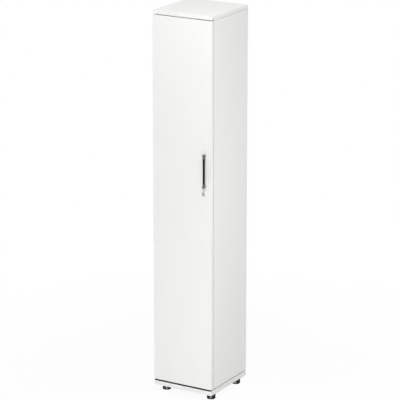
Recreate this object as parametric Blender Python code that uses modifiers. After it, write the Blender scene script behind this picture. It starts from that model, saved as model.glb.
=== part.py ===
"""A tall, slim office cupboard with one door, shelves, a cam lock and four levelling feet.

Metres, +Z up. The door faces -Y and hangs on the left. The origin is on the floor, under the
middle of the box that the cupboard and its handle fill.
"""

import math

import bmesh
import bpy
from mathutils import Matrix, Vector

# The whole cupboard on its feet, with the door shut and without the handle
WIDTH = 0.340
DEPTH = 0.355
HEIGHT = 2.000

# Boards
TOP_THICKNESS = 0.019
BOTTOM_THICKNESS = 0.025
SIDE_THICKNESS = 0.019
DOOR_THICKNESS = 0.019
SHELF_THICKNESS = 0.019
BACK_THICKNESS = 0.008
PANEL_EDGE = 0.002
BOARD_EDGE = 0.001
SHELF_EDGE = 0.0008
EDGE_STEPS = 3
SHADOW_GROOVE_DEPTH = 0.003

# Gaps and fits
TOUCH = 0.0003
FIT = 0.0003
WELD = 0.00001
DOOR_GAP_TOP = 0.004
DOOR_GAP_BOTTOM = 0.0065
DOOR_CLEARANCE = 0.0015

# Back panel in its grooves
BACK_INSET = 0.012
GROOVE_DEPTH = 0.006

# Shelves and the pins that they lie on
SHELF_COUNT = 4
SHELF_SIDE_GAP = 0.001
SHELF_SETBACK = 0.030
SHELF_BACK_GAP = 0.002
PIN_ROW_FRONT = 0.070
PIN_ROW_BACK = 0.050
PIN_RADIUS = 0.0025
PIN_DEPTH = 0.009
PEG_RADIUS = 0.0035
PEG_LENGTH = 0.010
HOLE_PITCH = 0.032
HOLE_STEPS = (-1, 0, 1)
ROUND_SMALL = 10
SMOOTH_ANGLE = 40

# Hinges: a cup let into the door, one pin, and a bent arm on the side panel
CUP_RADIUS = 0.0175
CUP_EDGE = 0.003
CUP_FLOOR = 0.001
FLANGE_THICKNESS = 0.0012
FLANGE_WIDTH = 0.017
FLANGE_HEIGHT = 0.058
HINGE_PIN_RIM = 0.0045
HINGE_PIN_DEPTH = 0.0095
HINGE_PIN_RADIUS = 0.0012
HINGE_PIN_LENGTH = 0.014
EYE_RADIUS = 0.00225
EYE_HEIGHT = 0.0084
ARM_HEIGHT = 0.008
ARM_THICKNESS = 0.0025
ARM_STANDOFF = 0.0095
ARM_NECK = 0.010
ARM_SLOPE = 0.010
ARM_PLAY = 0.0004
POCKET_ROOM = 0.005
BASE_THICKNESS = 0.003
BASE_LENGTH = 0.036
BASE_HEIGHT = 0.032
HINGE_END_INSET = 0.100
ROUND_CUP = 24

# Handle: a straight bar between two turned posts, above the lock
LOCK_TO_HANDLE = 0.045
HANDLE_INSET = 0.032
HANDLE_SPACING = 0.160
BAR_RADIUS = 0.0054
BAR_END_GAP = 0.002
POST_FOOT_RADIUS = 0.006
POST_FOOT_HEIGHT = 0.002
POST_FLARE = 0.005
POST_NECK_RADIUS = 0.0042
POST_NECK = 0.006
POST_SHOULDER = 0.003
POST_HEAD_RADIUS = 0.0075
POST_HEAD_BACK = 0.006
POST_HEAD_FRONT = 0.0065
POST_HEAD_EDGE = 0.002
SOCKET_RADIUS = 0.0064
SOCKET_LENGTH = 0.0065
SCREW_RADIUS = 0.002
SCREW_GRIP = 0.008
SCREW_HEAD_RADIUS = 0.004
SCREW_HEAD_HEIGHT = 0.0022

# Cam lock and the strike that its cam turns behind
LOCK_HEIGHT = 1.098
LOCK_INSET = 0.047
LOCK_RADIUS = 0.009
ROSE_RADIUS = 0.010
ROSE_THICKNESS = 0.002
HOUSING_PAST_NUT = 0.0019
PLUG_RADIUS = 0.006
PLUG_RECESS = 0.0005
KEYWAY_WIDTH = 0.0018
KEYWAY_HEIGHT = 0.008
KEYWAY_DEPTH = 0.006
SHANK_RADIUS = 0.0035
NUT_RADIUS = 0.0125
NUT_THICKNESS = 0.004
NUT_SIDES = 6
CAM_THICKNESS = 0.0025
CAM_WIDTH = 0.014
CAM_TIP_GAP = 0.0045
CAM_END_STEPS = 8
CAM_SCREW_RADIUS = 0.0055
CAM_SCREW_HEIGHT = 0.002
STRIKE_THICKNESS = 0.002
STRIKE_NUT_GAP = 0.0012
STRIKE_LENGTH = 0.026
STRIKE_HEIGHT = 0.034
STRIKE_PLAY = 0.0005
STRIKE_SCREW_SPREAD = 0.020
STRIKE_SCREW_RADIUS = 0.00175
STRIKE_SCREW_BITE = 0.010
STRIKE_HEAD_RADIUS = 0.0035
STRIKE_HEAD_HEIGHT = 0.0015

# Levelling feet
FOOT_HEIGHT = 0.036
FOOT_RADIUS = 0.0225
FOOT_EDGE = 0.003
FOOT_SIDE_INSET = 0.037
FOOT_FRONT_INSET = 0.062
FOOT_BACK_INSET = 0.040
MOUNT_RADIUS = 0.019
MOUNT_FLANGE = 0.0025
SLEEVE_RADIUS = 0.007
SLEEVE_COVER = 0.003
STUD_RADIUS = 0.004
STUD_ROOM = 0.0021
ROUND_FOOT = 24

# Sizes and places that follow from those
DOOR_GAP_BEHIND = TOUCH + FLANGE_THICKNESS + DOOR_CLEARANCE
BAR_STANDOFF = POST_FOOT_HEIGHT + POST_FLARE + POST_NECK + POST_SHOULDER + POST_HEAD_BACK
HANDLE_PROJECTION = BAR_STANDOFF + POST_HEAD_FRONT
HANDLE_HEIGHT = LOCK_HEIGHT + LOCK_TO_HANDLE + HANDLE_SPACING / 2
HINGE_PIN_INSET = CUP_EDGE + HINGE_PIN_RIM
X_LEFT = -WIDTH / 2
X_RIGHT = WIDTH / 2
X_INNER = X_RIGHT - SIDE_THICKNESS
Y_FRONT = (HANDLE_PROJECTION - DEPTH) / 2
Y_BACK = Y_FRONT + DEPTH
Y_DOOR_BACK = Y_FRONT + DOOR_THICKNESS
Y_SIDE_FRONT = Y_DOOR_BACK + DOOR_GAP_BEHIND
Y_BACK_PANEL = Y_BACK - BACK_INSET - BACK_THICKNESS
Z_FLOOR = FOOT_HEIGHT + BOTTOM_THICKNESS
Z_CEILING = HEIGHT - TOP_THICKNESS
Z_DOOR_LOW = Z_FLOOR + DOOR_GAP_BOTTOM
Z_DOOR_HIGH = Z_CEILING - DOOR_GAP_TOP
COMPARTMENT = (Z_CEILING - Z_FLOOR - SHELF_COUNT * SHELF_THICKNESS) / (SHELF_COUNT + 1)
SHELF_PITCH = COMPARTMENT + SHELF_THICKNESS
CUP_DEPTH = HINGE_PIN_DEPTH + EYE_RADIUS + ARM_PLAY + CUP_FLOOR
HINGE_AXIS = Vector((X_LEFT + HINGE_PIN_INSET, Y_DOOR_BACK - HINGE_PIN_DEPTH, Z_DOOR_LOW))
LOCK_AXIS = Vector((X_RIGHT - LOCK_INSET, Y_FRONT, LOCK_HEIGHT))

for leftover in list(bpy.data.objects):
    bpy.data.objects.remove(leftover, do_unlink=True)

PARTS = bpy.data.collections.new("office_cupboard")
CUTTERS = bpy.data.collections.new("cutters")
bpy.context.scene.collection.children.link(PARTS)
bpy.context.scene.collection.children.link(CUTTERS)


def finish(name, colour, roughness, metallic):
    """A plain material with the colour and gloss of one of the cupboard's surfaces."""
    material = bpy.data.materials.new(name)
    material.use_nodes = True
    shader = material.node_tree.nodes["Principled BSDF"]
    shader.inputs["Base Color"].default_value = (*colour, 1.0)
    shader.inputs["Roughness"].default_value = roughness
    shader.inputs["Metallic"].default_value = metallic
    return material


WHITE_BOARD = finish("white_board", (0.86, 0.86, 0.85), 0.45, 0.0)
WHITE_BACK = finish("white_back", (0.82, 0.82, 0.81), 0.55, 0.0)
DARK_METAL = finish("dark_metal", (0.03, 0.03, 0.03), 0.30, 1.0)
NICKEL = finish("nickel", (0.62, 0.61, 0.58), 0.28, 1.0)
ZINC = finish("zinc", (0.55, 0.55, 0.56), 0.35, 1.0)
BLACK_PLASTIC = finish("black_plastic", (0.02, 0.02, 0.02), 0.35, 0.0)


def add_object(name, data, material=None):
    """A part with its material or, without one, a cutter that is never rendered."""
    obj = bpy.data.objects.new(name, data)
    if material:
        data.materials.append(material)
        PARTS.objects.link(obj)
    else:
        CUTTERS.objects.link(obj)
        obj.hide_render = True
        obj.display_type = "WIRE"
    return obj


def box(name, low, high, material=None, edge=0.0):
    """A box between two corners, with its edges rounded if edge is given."""
    low, high = Vector(low), Vector(high)
    bm = bmesh.new()
    bmesh.ops.create_cube(bm, size=1.0, matrix=Matrix.Diagonal((*(high - low), 1.0)))
    mesh = bpy.data.meshes.new(name)
    bm.to_mesh(mesh)
    bm.free()
    obj = add_object(name, mesh, material)
    obj.location = (low + high) / 2
    if edge:
        bevel = obj.modifiers.new("rounded_edges", "BEVEL")
        bevel.width = edge
        bevel.segments = EDGE_STEPS
    return obj


def rod(name, radius, start, end, material=None, sides=ROUND_SMALL):
    """A straight round bar from one point to another."""
    start, end = Vector(start), Vector(end)
    bm = bmesh.new()
    bmesh.ops.create_cone(
        bm, cap_ends=True, segments=sides, radius1=radius, radius2=radius, depth=(end - start).length
    )
    mesh = bpy.data.meshes.new(name)
    bm.to_mesh(mesh)
    bm.free()
    shade_round(mesh)
    obj = add_object(name, mesh, material)
    obj.location = (start + end) / 2
    obj.rotation_mode = "QUATERNION"
    obj.rotation_quaternion = (end - start).to_track_quat("Z", "Y")
    return obj


def turned(name, profile, place, along, material, sides, ring=False):
    """A lathe-turned piece: profile is (radius, height) points, top to bottom down the outer side."""
    mesh = bpy.data.meshes.new(name)
    edges = [(i, i + 1) for i in range(len(profile) - 1)]
    if ring:
        edges.append((len(profile) - 1, 0))
    mesh.from_pydata([(radius, 0.0, height) for radius, height in profile], edges, [])
    obj = bpy.data.objects.new(name, mesh)
    PARTS.objects.link(obj)
    obj.location = place
    obj.rotation_mode = "QUATERNION"
    obj.rotation_quaternion = Vector(along).to_track_quat("Z", "Y")
    screw = obj.modifiers.new("lathe", "SCREW")
    screw.steps = screw.render_steps = sides
    screw.use_merge_vertices = True
    screw.merge_threshold = WELD
    piece = as_mesh(obj, material)
    shade_round(piece.data)
    return piece


def shade_round(mesh):
    """Smooth shading on round sides, with sharp edges kept at the ends."""
    mesh.shade_smooth()
    mesh.set_sharp_from_angle(angle=math.radians(SMOOTH_ANGLE))


def as_mesh(obj, material=None):
    """A curve or a lathe profile made a mesh object of the same name and place, with its caps welded."""
    name = obj.name
    bpy.context.view_layer.update()
    mesh = bpy.data.meshes.new_from_object(obj.evaluated_get(bpy.context.evaluated_depsgraph_get()))
    bm = bmesh.new()
    bm.from_mesh(mesh)
    bmesh.ops.remove_doubles(bm, verts=bm.verts, dist=WELD)
    bmesh.ops.recalc_face_normals(bm, faces=bm.faces)
    bm.to_mesh(mesh)
    bm.free()
    matrix = obj.matrix_world.copy()
    bpy.data.objects.remove(obj, do_unlink=True)
    mesh.materials.clear()
    made = add_object(name, mesh, material)
    made.name = name
    made.matrix_world = matrix
    return made


def plate(name, outline, low, high, material=None, upright=False):
    """A flat outline with a thickness, from low to high in Z or, if upright, in Y."""
    curve = bpy.data.curves.new(name, "CURVE")
    curve.dimensions = "2D"
    curve.fill_mode = "BOTH"
    curve.extrude = (high - low) / 2
    spline = curve.splines.new("POLY")
    spline.points.add(len(outline) - 1)
    for point, (across, along) in zip(spline.points, outline):
        point.co = (across, along, 0.0, 1.0)
    spline.use_cyclic_u = True
    obj = bpy.data.objects.new(name, curve)
    PARTS.objects.link(obj)
    middle = (low + high) / 2
    if upright:
        obj.location.y = middle
        obj.rotation_euler.x = math.pi / 2
    else:
        obj.location.z = middle
    return as_mesh(obj, material)


def arc(centre, radius, start, end, steps):
    """Points along an arc, with its angles in degrees."""
    angles = [math.radians(start + (end - start) * i / steps) for i in range(steps + 1)]
    return [(centre[0] + radius * math.cos(a), centre[1] + radius * math.sin(a)) for a in angles]


def strap(path, thickness):
    """The outline of a strap of even thickness along a bent path, with mitred corners."""
    points = [Vector(p) for p in path]
    sides = []
    for i, point in enumerate(points):
        before = (point - points[max(i - 1, 0)]).normalized() if i else None
        after = (points[i + 1] - point).normalized() if i + 1 < len(points) else None
        before, after = before or after, after or before
        normal = Vector((-before.y - after.y, before.x + after.x)).normalized()
        reach = thickness / 2 / normal.dot(Vector((-before.y, before.x)))
        sides.append((point + normal * reach, point - normal * reach))
    return [tuple(left) for left, _ in sides] + [tuple(right) for _, right in reversed(sides)]


def boolean(obj, other, operation):
    """Adds a Boolean with another object, which becomes a hidden helper."""
    modifier = obj.modifiers.new(other.name, "BOOLEAN")
    modifier.operation = operation
    modifier.object = other
    modifier.solver = "EXACT"


def cut(obj, *cutters):
    for cutter in cutters:
        boolean(obj, cutter, "DIFFERENCE")


def join(obj, *others):
    for other in others:
        boolean(obj, other, "UNION")


def axis_empty(name, place, parent=None):
    """An empty on a joint's axis, which carries the pieces that move with that joint."""
    empty = bpy.data.objects.new(name, None)
    empty.empty_display_size = 0.05
    PARTS.objects.link(empty)
    empty.location = place
    bpy.context.view_layer.update()
    if parent:
        carry(parent, empty)
    return empty


def carry(parent, *pieces):
    """Parents pieces to an empty without moving them."""
    bpy.context.view_layer.update()
    for piece in pieces:
        piece.parent = parent
        piece.matrix_parent_inverse = parent.matrix_world.inverted()
    bpy.context.view_layer.update()


# Carcass: top and bottom run over the sides and the door
top_panel = box(
    "top_panel", (X_LEFT, Y_FRONT, Z_CEILING), (X_RIGHT, Y_BACK, HEIGHT), WHITE_BOARD, PANEL_EDGE
)
bottom_panel = box(
    "bottom_panel", (X_LEFT, Y_FRONT, FOOT_HEIGHT), (X_RIGHT, Y_BACK, Z_FLOOR), WHITE_BOARD, PANEL_EDGE
)
left_side_panel = box(
    "left_side_panel",
    (X_LEFT, Y_SIDE_FRONT, Z_FLOOR + TOUCH),
    (-X_INNER, Y_BACK, Z_CEILING - TOUCH),
    WHITE_BOARD,
    BOARD_EDGE,
)
right_side_panel = box(
    "right_side_panel",
    (X_INNER, Y_SIDE_FRONT, Z_FLOOR + TOUCH),
    (X_RIGHT, Y_BACK, Z_CEILING - TOUCH),
    WHITE_BOARD,
    BOARD_EDGE,
)
SIDE_PANELS = {-1: left_side_panel, 1: right_side_panel}

# The gaps above and below the door run on round the sides, as a shadow groove in their outer faces
groove_ends = ((Z_FLOOR - BOARD_EDGE, Z_DOOR_LOW), (Z_DOOR_HIGH, Z_CEILING + BOARD_EDGE))
for side, panel in SIDE_PANELS.items():
    middle_x = side * X_RIGHT
    for groove_low, groove_high in groove_ends:
        shadow_cutter = box(
            "shadow_groove",
            (middle_x - SHADOW_GROOVE_DEPTH, Y_SIDE_FRONT - BOARD_EDGE, groove_low),
            (middle_x + SHADOW_GROOVE_DEPTH, Y_BACK + BOARD_EDGE, groove_high),
        )
        cut(panel, shadow_cutter)

# Back panel, held in a groove all round
groove = Vector((X_INNER + GROOVE_DEPTH, 0.0, GROOVE_DEPTH))
groove_cutter = box(
    "back_groove",
    (-groove.x, Y_BACK_PANEL - FIT, Z_FLOOR - groove.z),
    (groove.x, Y_BACK_PANEL + BACK_THICKNESS + FIT, Z_CEILING + groove.z),
)
cut(top_panel, groove_cutter)
cut(bottom_panel, groove_cutter)
cut(left_side_panel, groove_cutter)
cut(right_side_panel, groove_cutter)
box(
    "back_panel",
    (-groove.x + FIT, Y_BACK_PANEL, Z_FLOOR - groove.z + FIT),
    (groove.x - FIT, Y_BACK_PANEL + BACK_THICKNESS, Z_CEILING + groove.z - FIT),
    WHITE_BACK,
)


# Shelves on four pins each, with a spare hole above and below every pin
def pin_hole(side, y, z):
    """A blind hole in the inner face of a side panel: side is -1 for the left and 1 for the right."""
    return rod(
        "pin_hole",
        PIN_RADIUS + FIT,
        (side * (X_INNER - PIN_DEPTH), y, z),
        (side * (X_INNER + PIN_DEPTH + FIT), y, z),
    )


PIN_ROWS = {"front": Y_SIDE_FRONT + PIN_ROW_FRONT, "back": Y_BACK_PANEL - PIN_ROW_BACK}
SIDE_NAMES = {-1: "left", 1: "right"}
for shelf_number in range(1, SHELF_COUNT + 1):
    shelf_low = Z_FLOOR + shelf_number * SHELF_PITCH - SHELF_THICKNESS
    box(
        f"shelf_{shelf_number}",
        (-X_INNER + SHELF_SIDE_GAP, Y_SIDE_FRONT + SHELF_SETBACK, shelf_low),
        (X_INNER - SHELF_SIDE_GAP, Y_BACK_PANEL - SHELF_BACK_GAP, shelf_low + SHELF_THICKNESS),
        WHITE_BOARD,
        SHELF_EDGE,
    )
    peg_height = shelf_low - TOUCH - PEG_RADIUS
    for side, panel in SIDE_PANELS.items():
        for row, row_y in PIN_ROWS.items():
            turned(
                f"shelf_pin_{shelf_number}_{SIDE_NAMES[side]}_{row}",
                [
                    (0.0, PIN_DEPTH),
                    (PIN_RADIUS, PIN_DEPTH),
                    (PIN_RADIUS, -TOUCH),
                    (PEG_RADIUS, -TOUCH),
                    (PEG_RADIUS, -TOUCH - PEG_LENGTH),
                    (0.0, -TOUCH - PEG_LENGTH),
                ],
                (side * X_INNER, row_y, peg_height),
                (side, 0.0, 0.0),
                ZINC,
                ROUND_SMALL,
            )
            for step in HOLE_STEPS:
                cut(panel, pin_hole(side, row_y, peg_height + step * HOLE_PITCH))

# Door, hung between the top and the bottom
door_axis = axis_empty("door_axis", HINGE_AXIS)
door_panel = box(
    "door_panel",
    (X_LEFT, Y_FRONT, Z_DOOR_LOW),
    (X_RIGHT, Y_DOOR_BACK, Z_DOOR_HIGH),
    WHITE_BOARD,
    BOARD_EDGE,
)
carry(door_axis, door_panel)

# Hinges: near the door's ends, and in the middle of the second compartment from each end
cup_x = X_LEFT + CUP_EDGE + CUP_RADIUS
arm_turn_x = -X_INNER + ARM_STANDOFF
pocket_low_x = HINGE_AXIS.x - EYE_RADIUS - ARM_PLAY
pocket_high_x = arm_turn_x + POCKET_ROOM
flange_top = Y_DOOR_BACK + TOUCH + FLANGE_THICKNESS
base_x = -X_INNER + TOUCH
base_y = Y_SIDE_FRONT + ARM_NECK + ARM_SLOPE
second_low = Z_FLOOR + SHELF_PITCH + COMPARTMENT / 2
second_high = Z_CEILING - SHELF_PITCH - COMPARTMENT / 2
HINGE_HEIGHTS = (
    Z_DOOR_LOW + HINGE_END_INSET,
    second_low,
    second_high,
    Z_DOOR_HIGH - HINGE_END_INSET,
)
for hinge_number, hinge_z in enumerate(HINGE_HEIGHTS, start=1):
    cup = rod(
        f"hinge_cup_{hinge_number}",
        CUP_RADIUS,
        (cup_x, Y_DOOR_BACK - CUP_DEPTH, hinge_z),
        (cup_x, flange_top, hinge_z),
        NICKEL,
        ROUND_CUP,
    )
    flange = box(
        "cup_flange",
        (cup_x - FLANGE_WIDTH / 2, Y_DOOR_BACK + TOUCH, hinge_z - FLANGE_HEIGHT / 2),
        (cup_x + FLANGE_WIDTH / 2, flange_top - FIT, hinge_z + FLANGE_HEIGHT / 2),
    )
    pocket = box(
        "cup_pocket",
        (pocket_low_x, Y_DOOR_BACK - CUP_DEPTH + CUP_FLOOR, hinge_z - EYE_HEIGHT / 2 - ARM_PLAY),
        (pocket_high_x, flange_top + CUP_FLOOR, hinge_z + EYE_HEIGHT / 2 + ARM_PLAY),
    )
    pin_low = Vector((HINGE_AXIS.x, HINGE_AXIS.y, hinge_z - HINGE_PIN_LENGTH / 2))
    pin_high = Vector((HINGE_AXIS.x, HINGE_AXIS.y, hinge_z + HINGE_PIN_LENGTH / 2))
    end_play = Vector((0.0, 0.0, FIT))
    pin_bore = rod("hinge_pin_bore", HINGE_PIN_RADIUS + FIT, pin_low - end_play, pin_high + end_play)
    join(cup, flange)
    cut(cup, pocket, pin_bore)
    hinge_pin = rod(f"hinge_pin_{hinge_number}", HINGE_PIN_RADIUS, pin_low, pin_high, ZINC)
    cup_bore = rod(
        "cup_bore",
        CUP_RADIUS + FIT,
        (cup_x, Y_DOOR_BACK - CUP_DEPTH - TOUCH, hinge_z),
        (cup_x, Y_DOOR_BACK + CUP_DEPTH, hinge_z),
        sides=ROUND_CUP,
    )
    cut(door_panel, cup_bore)
    carry(door_axis, cup, hinge_pin)

    arm_x = base_x + BASE_THICKNESS / 2
    arm = plate(
        f"hinge_arm_{hinge_number}",
        strap(
            [
                (HINGE_AXIS.x, HINGE_AXIS.y),
                (arm_turn_x, HINGE_AXIS.y),
                (arm_turn_x, Y_SIDE_FRONT + ARM_NECK),
                (arm_x, base_y),
                (arm_x, base_y + BASE_LENGTH / 2),
            ],
            ARM_THICKNESS,
        ),
        hinge_z - ARM_HEIGHT / 2,
        hinge_z + ARM_HEIGHT / 2,
        NICKEL,
    )
    eye = rod(
        "arm_eye",
        EYE_RADIUS,
        (HINGE_AXIS.x, HINGE_AXIS.y, hinge_z - EYE_HEIGHT / 2),
        (HINGE_AXIS.x, HINGE_AXIS.y, hinge_z + EYE_HEIGHT / 2),
    )
    base = box(
        "arm_base",
        (base_x, base_y - ARM_THICKNESS, hinge_z - BASE_HEIGHT / 2),
        (base_x + BASE_THICKNESS, base_y + BASE_LENGTH, hinge_z + BASE_HEIGHT / 2),
    )
    join(arm, eye, base)
    cut(arm, pin_bore)


# Handle, with a screw from behind the door into each post
handle_x = X_RIGHT - HANDLE_INSET
bar_y = Y_FRONT - BAR_STANDOFF
POST_ENDS = {"lower": -1, "upper": 1}
POST_PROFILE = [
    (0.0, HANDLE_PROJECTION),
    (POST_HEAD_RADIUS - POST_HEAD_EDGE, HANDLE_PROJECTION),
    (POST_HEAD_RADIUS, HANDLE_PROJECTION - POST_HEAD_EDGE),
    (POST_HEAD_RADIUS, BAR_STANDOFF - POST_HEAD_BACK),
    (POST_NECK_RADIUS, BAR_STANDOFF - POST_HEAD_BACK - POST_SHOULDER),
    (POST_NECK_RADIUS, POST_FOOT_HEIGHT + POST_FLARE),
    (POST_FOOT_RADIUS, POST_FOOT_HEIGHT),
    (POST_FOOT_RADIUS, TOUCH),
    (0.0, TOUCH),
]
handle_bar = rod(
    "handle_bar",
    BAR_RADIUS,
    (handle_x, bar_y, HANDLE_HEIGHT - HANDLE_SPACING / 2 + BAR_END_GAP),
    (handle_x, bar_y, HANDLE_HEIGHT + HANDLE_SPACING / 2 - BAR_END_GAP),
    DARK_METAL,
    ROUND_CUP,
)
carry(door_axis, handle_bar)
for end_name, direction in POST_ENDS.items():
    post_z = HANDLE_HEIGHT + direction * HANDLE_SPACING / 2
    post = turned(
        f"handle_post_{end_name}",
        POST_PROFILE,
        (handle_x, Y_FRONT, post_z),
        (0.0, -1.0, 0.0),
        NICKEL,
        ROUND_CUP,
    )
    socket = rod(
        "bar_socket",
        SOCKET_RADIUS,
        (handle_x, bar_y, post_z),
        (handle_x, bar_y, post_z - direction * (POST_HEAD_RADIUS + SOCKET_LENGTH)),
        sides=ROUND_CUP,
    )
    bar_bore = rod(
        "bar_bore",
        BAR_RADIUS + FIT,
        (handle_x, bar_y, post_z - direction * (BAR_END_GAP - FIT)),
        (handle_x, bar_y, HANDLE_HEIGHT),
        sides=ROUND_CUP,
    )
    screw = turned(
        f"handle_screw_{end_name}",
        [
            (0.0, SCREW_HEAD_HEIGHT + TOUCH),
            (SCREW_HEAD_RADIUS, SCREW_HEAD_HEIGHT + TOUCH),
            (SCREW_HEAD_RADIUS, TOUCH),
            (SCREW_RADIUS, TOUCH),
            (SCREW_RADIUS, -DOOR_THICKNESS - SCREW_GRIP),
            (0.0, -DOOR_THICKNESS - SCREW_GRIP),
        ],
        (handle_x, Y_DOOR_BACK, post_z),
        (0.0, 1.0, 0.0),
        ZINC,
        ROUND_SMALL,
    )
    screw_bore = rod(
        "handle_screw_bore",
        SCREW_RADIUS + FIT,
        (handle_x, Y_FRONT - SCREW_GRIP - FIT, post_z),
        (handle_x, Y_DOOR_BACK + DOOR_THICKNESS, post_z),
    )
    join(post, socket)
    cut(post, bar_bore, screw_bore)
    cut(door_panel, screw_bore)
    carry(door_axis, post, screw)

# Cam lock: a threaded housing through the door, its nut, and the plug that turns the cam
INTO_CUPBOARD = Vector((0.0, 1.0, 0.0))
lock_axis = axis_empty("lock_axis", LOCK_AXIS, door_axis)
nut_front = DOOR_THICKNESS + TOUCH
nut_back = nut_front + NUT_THICKNESS
housing_end = nut_back + HOUSING_PAST_NUT
cam_front = housing_end + TOUCH
cam_back = cam_front + CAM_THICKNESS
lock_housing = turned(
    "lock_housing",
    [
        (PLUG_RADIUS + FIT, housing_end),
        (LOCK_RADIUS, housing_end),
        (LOCK_RADIUS, -TOUCH),
        (ROSE_RADIUS, -TOUCH),
        (ROSE_RADIUS, -TOUCH - ROSE_THICKNESS),
        (PLUG_RADIUS + FIT, -TOUCH - ROSE_THICKNESS),
    ],
    LOCK_AXIS,
    INTO_CUPBOARD,
    NICKEL,
    ROUND_CUP,
    ring=True,
)
lock_bore = rod(
    "lock_bore",
    LOCK_RADIUS + FIT,
    LOCK_AXIS - INTO_CUPBOARD * DOOR_THICKNESS,
    LOCK_AXIS + INTO_CUPBOARD * 2 * DOOR_THICKNESS,
    sides=ROUND_CUP,
)
cut(door_panel, lock_bore)
lock_nut = rod(
    "lock_nut",
    NUT_RADIUS,
    LOCK_AXIS + INTO_CUPBOARD * nut_front,
    LOCK_AXIS + INTO_CUPBOARD * nut_back,
    ZINC,
    NUT_SIDES,
)
cut(lock_nut, lock_bore)
plug_front = -TOUCH - ROSE_THICKNESS + PLUG_RECESS
lock_plug = turned(
    "lock_plug",
    [
        (0.0, cam_back),
        (SHANK_RADIUS, cam_back),
        (SHANK_RADIUS, housing_end),
        (PLUG_RADIUS, housing_end),
        (PLUG_RADIUS, plug_front),
        (0.0, plug_front),
    ],
    LOCK_AXIS,
    INTO_CUPBOARD,
    NICKEL,
    ROUND_CUP,
)
keyway = box(
    "keyway",
    LOCK_AXIS + Vector((-KEYWAY_WIDTH / 2, plug_front - KEYWAY_DEPTH, -KEYWAY_HEIGHT / 2)),
    LOCK_AXIS + Vector((KEYWAY_WIDTH / 2, plug_front + KEYWAY_DEPTH, KEYWAY_HEIGHT / 2)),
)
cut(lock_plug, keyway)
cam_end = X_INNER - LOCK_AXIS.x - CAM_TIP_GAP - CAM_WIDTH / 2
lock_cam = plate(
    "lock_cam",
    arc((LOCK_AXIS.x, LOCK_HEIGHT), CAM_WIDTH / 2, 0, 180, CAM_END_STEPS)
    + arc((LOCK_AXIS.x, LOCK_HEIGHT - cam_end), CAM_WIDTH / 2, 180, 360, CAM_END_STEPS),
    Y_FRONT + cam_front,
    Y_FRONT + cam_back,
    ZINC,
    upright=True,
)
shank_bore = rod(
    "cam_bore",
    SHANK_RADIUS + FIT,
    LOCK_AXIS + INTO_CUPBOARD * (cam_front - CAM_THICKNESS),
    LOCK_AXIS + INTO_CUPBOARD * (cam_back + CAM_THICKNESS),
    sides=ROUND_CUP,
)
cut(lock_cam, shank_bore)
lock_cam_screw = rod(
    "lock_cam_screw",
    CAM_SCREW_RADIUS,
    LOCK_AXIS + INTO_CUPBOARD * (cam_back + TOUCH),
    LOCK_AXIS + INTO_CUPBOARD * (cam_back + TOUCH + CAM_SCREW_HEIGHT),
    ZINC,
)
carry(door_axis, lock_housing, lock_nut)
carry(lock_axis, lock_plug, lock_cam, lock_cam_screw)

# Strike: an angle on the right side panel, whose lip the cam turns behind
lip_back = Y_FRONT + cam_front - STRIKE_PLAY
lip_front = lip_back - STRIKE_THICKNESS
strike_x = X_INNER - TOUCH
lip_tip_x = LOCK_AXIS.x + NUT_RADIUS + STRIKE_NUT_GAP
lock_strike = plate(
    "lock_strike",
    [
        (strike_x, lip_front),
        (strike_x, lip_front + STRIKE_LENGTH),
        (strike_x - STRIKE_THICKNESS, lip_front + STRIKE_LENGTH),
        (strike_x - STRIKE_THICKNESS, lip_back),
        (lip_tip_x, lip_back),
        (lip_tip_x, lip_front),
    ],
    LOCK_HEIGHT - STRIKE_HEIGHT / 2,
    LOCK_HEIGHT + STRIKE_HEIGHT / 2,
    ZINC,
)
strike_screw_y = (lip_back + lip_front + STRIKE_LENGTH) / 2
for screw_name, direction in (("lower", -1), ("upper", 1)):
    screw_place = Vector(
        (strike_x - STRIKE_THICKNESS, strike_screw_y, LOCK_HEIGHT + direction * STRIKE_SCREW_SPREAD / 2)
    )
    shaft_end = STRIKE_THICKNESS + TOUCH + STRIKE_SCREW_BITE
    turned(
        f"strike_screw_{screw_name}",
        [
            (0.0, shaft_end),
            (STRIKE_SCREW_RADIUS, shaft_end),
            (STRIKE_SCREW_RADIUS, -TOUCH),
            (STRIKE_HEAD_RADIUS, -TOUCH),
            (STRIKE_HEAD_RADIUS, -TOUCH - STRIKE_HEAD_HEIGHT),
            (0.0, -TOUCH - STRIKE_HEAD_HEIGHT),
        ],
        screw_place,
        (1.0, 0.0, 0.0),
        ZINC,
        ROUND_SMALL,
    )
    strike_bore = rod(
        "strike_screw_bore",
        STRIKE_SCREW_RADIUS + FIT,
        screw_place - Vector((STRIKE_THICKNESS, 0.0, 0.0)),
        screw_place + Vector((shaft_end + FIT, 0.0, 0.0)),
    )
    cut(lock_strike, strike_bore)
    cut(right_side_panel, strike_bore)

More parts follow.
